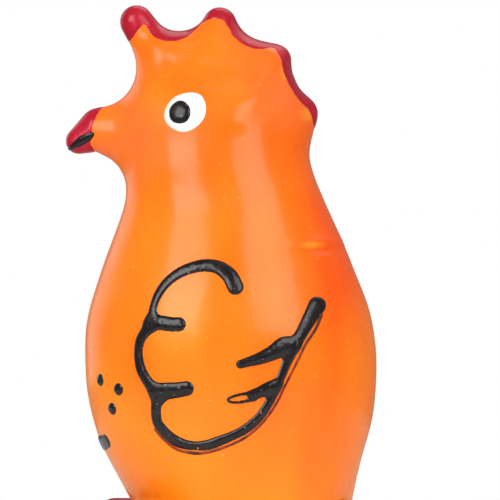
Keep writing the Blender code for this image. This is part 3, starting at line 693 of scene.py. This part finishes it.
def latex_material():
    """Sprayed orange latex: redder up and to the back, with dust specks; salmon spots on the head are painted
    sheen, and the yellow streaks on the fold and the comb's edges are painted highlight, partly wear.
    """
    mat, tree, shader, coord = material("painted_latex", specular_ior_level=0.2, coat_weight=0.16,
                                        coat_roughness=0.10, subsurface_weight=0.08, subsurface_scale=0.002)
    shader.inputs["Subsurface Radius"].default_value = (1.0, 0.35, 0.1)
    axes = tree.nodes.new("ShaderNodeSeparateXYZ")
    tree.links.new(coord, axes.inputs[0])
    x, z = axes.outputs[0], axes.outputs[2]
    red = maths(tree, "MULTIPLY_ADD", x, 5.5, 0.40)
    red = maths(tree, "ADD", red, spot(tree, coord, (32, 0, 84), (26, 90, 38), 0.42))
    red = maths(tree, "SUBTRACT", red, maths(tree, "MULTIPLY", stretch(tree, z, 0.045, 0.005), 0.42))
    red = maths(tree, "ADD", red, maths(tree, "MULTIPLY", stretch(tree, z, 0.085, 0.120), 0.20))
    for centre, radii, amount in (((-13, 0, 62), (17, 90, 17), 0.28), ((-32, 0, 26), (24, 90, 34), 0.55),
                                  ((42, 0, 44), (14, 90, 40), 0.35), ((-17, 0, 121), (10, 90, 9), 0.30)):
        red = maths(tree, "SUBTRACT", red, spot(tree, coord, centre, radii, amount))
    streak = cloud(tree, coord, 55.0, 2.0, 0.5, (1.0, 1.0, 0.35))
    red = maths(tree, "ADD", red, maths(tree, "MULTIPLY_ADD", streak, 0.9, -0.45))
    red = maths(tree, "ADD", red, 0.0, clamp=True)
    orange, vermilion = (0.97, 0.245, 0.006), (0.95, 0.100, 0.003)
    painted_sheen_salmon, highlight_and_wear_yellow, dust = (0.95, 0.175, 0.035), (0.97, 0.42, 0.03), (0.95, 0.45, 0.16)
    tone = mix(tree, stretch(tree, red, 0.0, 1.0, smooth=False), orange, vermilion)
    # painted reflection: the two salmon spots on the head's front and back flanks stand in for the sheen of
    # the lights
    for centre, radii, amount, colour in (((-22, 0, 113), (17, 90, 18), 0.7, painted_sheen_salmon),
                                          ((17, 0, 124), (11, 90, 14), 0.7, painted_sheen_salmon),
                                          # painted highlight: yellow streaks along the fold's bright line and
                                          # the comb's edges, partly rubbed wear
                                          ((25.2, 0, 83.2), (5, 90, 1.5), 0.55, highlight_and_wear_yellow),
                                          ((17.4, 0, 132), (1.6, 90, 5), 0.5, highlight_and_wear_yellow),
                                          ((24, 0, 119.5), (3, 90, 3), 0.45, highlight_and_wear_yellow)):
        tone = mix(tree, spot(tree, coord, centre, radii, amount), tone, colour)
    rub = cloud(tree, coord, 160.0, 4.0, 0.6, shift=(3, 1, 2))
    tone = mix(tree, stretch(tree, rub, 0.56, 0.75, 0.0, 0.25), tone, (0.96, 0.20, 0.03))
    speck = cloud(tree, coord, 900.0, 1.0, 0.4, shift=(7, 2, 5))
    tone = mix(tree, stretch(tree, speck, 0.765, 0.80, 0.0, 0.5), tone, dust)
    tree.links.new(tone, shader.inputs["Base Color"])
    gloss = cloud(tree, coord, 75.0, 3.0, 0.55, shift=(1, 4, 2))
    tree.links.new(stretch(tree, gloss, 0.3, 0.7, 0.24, 0.36), shader.inputs["Roughness"])
    bumpy(tree, shader, ((cloud(tree, coord, 60.0, 2.0, 0.5, shift=(5, 5, 1)), 0.6, 0.5),
                         (cloud(tree, coord, 1400.0, 2.0, 0.5), 0.12, 0.05), (speck, 0.15, 0.1)))
    return mat


def red_material():
    mat, tree, shader, coord = material("crimson_paint", specular_ior_level=0.25, coat_weight=0.10,
                                        coat_roughness=0.06)
    tone = mix(tree, stretch(tree, cloud(tree, coord, 130.0, 4.0, 0.6), 0.35, 0.7),
               (0.38, 0.004, 0.018), (0.48, 0.009, 0.030))
    tone = mix(tree, stretch(tree, cloud(tree, coord, 420.0, 3.0, 0.6, shift=(2, 2, 9)), 0.62, 0.8, 0.0, 0.4),
               tone, (0.38, 0.006, 0.02))
    tree.links.new(tone, shader.inputs["Base Color"])
    tree.links.new(stretch(tree, cloud(tree, coord, 200.0), 0.3, 0.7, 0.22, 0.34), shader.inputs["Roughness"])
    bumpy(tree, shader, ((cloud(tree, coord, 240.0, 3.0, 0.55), 0.4, 0.25),
                         (cloud(tree, coord, 1300.0), 0.12, 0.06)))
    return mat


def black_material():
    mat, tree, shader, coord = material("black_paint", specular_ior_level=0.3, coat_weight=0.12,
                                        coat_roughness=0.06)
    tone = mix(tree, stretch(tree, cloud(tree, coord, 180.0, 3.0, 0.6), 0.4, 0.75),
               (0.006, 0.005, 0.006), (0.016, 0.010, 0.010))
    dust = cloud(tree, coord, 1300.0, 1.0, 0.4, shift=(3, 9, 1))
    tone = mix(tree, stretch(tree, dust, 0.74, 0.79, 0.0, 0.8), tone, (0.42, 0.30, 0.26))
    tree.links.new(tone, shader.inputs["Base Color"])
    tree.links.new(stretch(tree, cloud(tree, coord, 320.0), 0.3, 0.7, 0.16, 0.32), shader.inputs["Roughness"])
    wrinkle = cloud(tree, coord, 420.0, 3.0, 0.55, (1.0, 1.0, 0.5), (4, 4, 4))
    bumpy(tree, shader, ((wrinkle, 0.3, 0.2), (cloud(tree, coord, 1800.0), 0.15, 0.05)))
    return mat


def trail_material():
    mat, tree, shader, coord = material("thin_black_edge", specular_ior_level=0.2)
    tone = mix(tree, stretch(tree, cloud(tree, coord, 260.0, 3.0, 0.6, shift=(1, 8, 3)), 0.42, 0.6),
               (0.07, 0.014, 0.007), (0.32, 0.040, 0.008))
    tree.links.new(tone, shader.inputs["Base Color"])
    tree.links.new(stretch(tree, cloud(tree, coord, 320.0), 0.3, 0.7, 0.25, 0.4), shader.inputs["Roughness"])
    bumpy(tree, shader, ((cloud(tree, coord, 500.0), 0.3, 0.1),))
    return mat


def white_material():
    mat, tree, shader, coord = material("eye_white_paint", specular_ior_level=0.5, coat_weight=0.2,
                                        coat_roughness=0.15)
    tone = mix(tree, stretch(tree, cloud(tree, coord, 220.0, 3.0, 0.6), 0.35, 0.7),
               (0.80, 0.79, 0.76), (0.73, 0.71, 0.67))
    tree.links.new(tone, shader.inputs["Base Color"])
    tree.links.new(stretch(tree, cloud(tree, coord, 300.0), 0.3, 0.7, 0.28, 0.42), shader.inputs["Roughness"])
    bumpy(tree, shader, ((cloud(tree, coord, 350.0, 3.0, 0.55), 0.25, 0.15),))
    return mat


def wadding_material():
    mat, tree, shader, coord = material("polyester_wadding", sheen_weight=0.5, sheen_roughness=0.5)
    fibre = cloud(tree, coord, 500.0, 6.0, 0.7, (1.0, 0.25, 1.0))
    tone = mix(tree, stretch(tree, fibre, 0.3, 0.7), (0.80, 0.79, 0.75), (0.93, 0.92, 0.89))
    tree.links.new(tone, shader.inputs["Base Color"])
    tree.links.new(stretch(tree, fibre, 0.3, 0.7, 0.85, 1.0), shader.inputs["Roughness"])
    bumpy(tree, shader, ((fibre, 0.8, 0.6), (cloud(tree, coord, 120.0), 0.6, 1.5)))
    return mat


def shell_material():
    mat, tree, shader, coord = material("milky_plastic", specular_ior_level=0.5, subsurface_weight=0.1,
                                        subsurface_scale=0.002)
    haze = cloud(tree, coord, 150.0, 4.0, 0.6)
    tone = mix(tree, stretch(tree, haze, 0.3, 0.7), (0.62, 0.66, 0.69), (0.76, 0.79, 0.81))
    tree.links.new(tone, shader.inputs["Base Color"])
    tree.links.new(stretch(tree, haze, 0.3, 0.7, 0.30, 0.45), shader.inputs["Roughness"])
    bumpy(tree, shader, ((cloud(tree, coord, 900.0), 0.15, 0.08),))
    return mat


latex, red_paint, black_paint = latex_material(), red_material(), black_material()
trail_paint, white_paint = trail_material(), white_material()
wadding, milky = wadding_material(), shell_material()

for name, piece in pieces.items():
    if name == "skin":
        look, slot = latex, "latex"
    elif name.startswith(("comb", "beak", "toes")):
        look, slot = red_paint, "red_paint"
    elif name.startswith("eye"):
        look, slot = white_paint, "white_paint"
    elif name.startswith("wad"):
        look, slot = wadding, "wadding"
    else:
        look, slot = (trail_paint if "trail" in name else black_paint), "black_paint"
    piece.data.materials.append(look)
    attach(piece, "moulding")
    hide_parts(*MASTERS[name])
    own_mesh(piece)
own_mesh(frame["nodes"]["squeaker_bellows"])
for node in ("base_patch", "squeaker_cup", "squeaker_bellows", "squeaker_cap", "reed_tube", "reed_seat",
             "reed_tongue"):
    for place in frame["nodes"][node].material_slots:
        place.material = latex if node == "base_patch" else milky


# ---------------------------------------------------------------- stage, light and camera
def floor(middle=0.03, radius=0.235, below=0.0002, corners=128):
    mesh = bpy.data.meshes.new("floor")
    ring = [(middle + radius * math.cos(a), radius * math.sin(a), -below)
            for a in (2 * math.pi * k / corners for k in range(corners))]
    mesh.from_pydata(ring, [], [list(range(corners))])
    obj = bpy.data.objects.new("floor", mesh)
    bpy.context.scene.collection.objects.link(obj)
    mat, tree, shader, coord = material("pale_floor", roughness=0.6)
    tone = mix(tree, stretch(tree, cloud(tree, coord, 8.0), 0.3, 0.7),
               (0.84, 0.84, 0.84), (0.88, 0.88, 0.88))
    tree.links.new(tone, shader.inputs["Base Color"])
    mesh.materials.append(mat)


def softbox(name, azimuth, elevation, distance, width, height, radiance, roll=0.0, aim=(0.0, 0.0, 0.075)):
    """Rectangular light; azimuth 0 is in front of the camera side, positive towards +X."""
    data = bpy.data.lights.new(name, "AREA")
    data.shape, data.size, data.size_y = "RECTANGLE", width, height
    data.energy = radiance * math.pi * width * height
    obj = bpy.data.objects.new(name, data)
    a, e = math.radians(azimuth), math.radians(elevation)
    way = Vector((math.sin(a) * math.cos(e), -math.cos(a) * math.cos(e), math.sin(e)))
    obj.location = Vector(aim) + way * distance
    turn = way.to_track_quat("Z", "Y") @ Quaternion((0.0, 0.0, 1.0), math.radians(roll))
    obj.rotation_euler = turn.to_euler()
    bpy.context.scene.collection.objects.link(obj)


def world():
    """Soft grey light all round, slightly stronger from the camera's side; plain white to the camera."""
    made = bpy.data.worlds.new("studio")
    bpy.context.scene.world = made
    made.use_nodes = True
    tree = made.node_tree
    tree.nodes.clear()
    out = tree.nodes.new("ShaderNodeOutputWorld")
    coord = tree.nodes.new("ShaderNodeTexCoord")
    axes = tree.nodes.new("ShaderNodeSeparateXYZ")
    tree.links.new(coord.outputs["Generated"], axes.inputs[0])
    level = stretch(tree, axes.outputs[1], -0.15, 0.45, 0.24, 0.22)
    soft, white = tree.nodes.new("ShaderNodeBackground"), tree.nodes.new("ShaderNodeBackground")
    tree.links.new(level, soft.inputs["Strength"])
    path, join = tree.nodes.new("ShaderNodeLightPath"), tree.nodes.new("ShaderNodeMixShader")
    white.inputs["Strength"].default_value = 1.0
    for node in (soft, white):
        node.inputs["Color"].default_value = (1.0, 1.0, 1.0, 1.0)
    tree.links.new(path.outputs["Is Camera Ray"], join.inputs[0])
    tree.links.new(soft.outputs[0], join.inputs[1])
    tree.links.new(white.outputs[0], join.inputs[2])
    tree.links.new(join.outputs[0], out.inputs[0])


floor()
world()
softbox("left_box", -39, 23.8, 0.70, 0.42, 0.46, 6.4)
softbox("right_box", 39, 27, 0.75, 0.50, 0.60, 4.2, roll=-12)
softbox("left_fill", -136, 15, 0.90, 0.50, 0.70, 0.9)
softbox("right_fill", 130, 50, 0.90, 0.50, 0.50, 0.6)
softbox("back_fill", 165, 55, 0.90, 0.60, 0.50, 1.2)
softbox("ceiling", 25, 74, 0.90, 0.60, 0.34, 0.7)

lens = bpy.data.cameras.new("camera")
lens.sensor_width, lens.lens = 36.0, 36.0 * DISTANCE / FRAME_MM
camera = bpy.data.objects.new("camera", lens)
camera.location = (VIEW_X * MM, -DISTANCE * MM, VIEW_Z * MM)
camera.rotation_euler = (math.radians(90), 0, 0)
bpy.context.scene.collection.objects.link(camera)
bpy.context.scene.camera = camera
bpy.context.scene.view_settings.view_transform = "Standard"
bpy.context.scene.view_settings.look = "None"
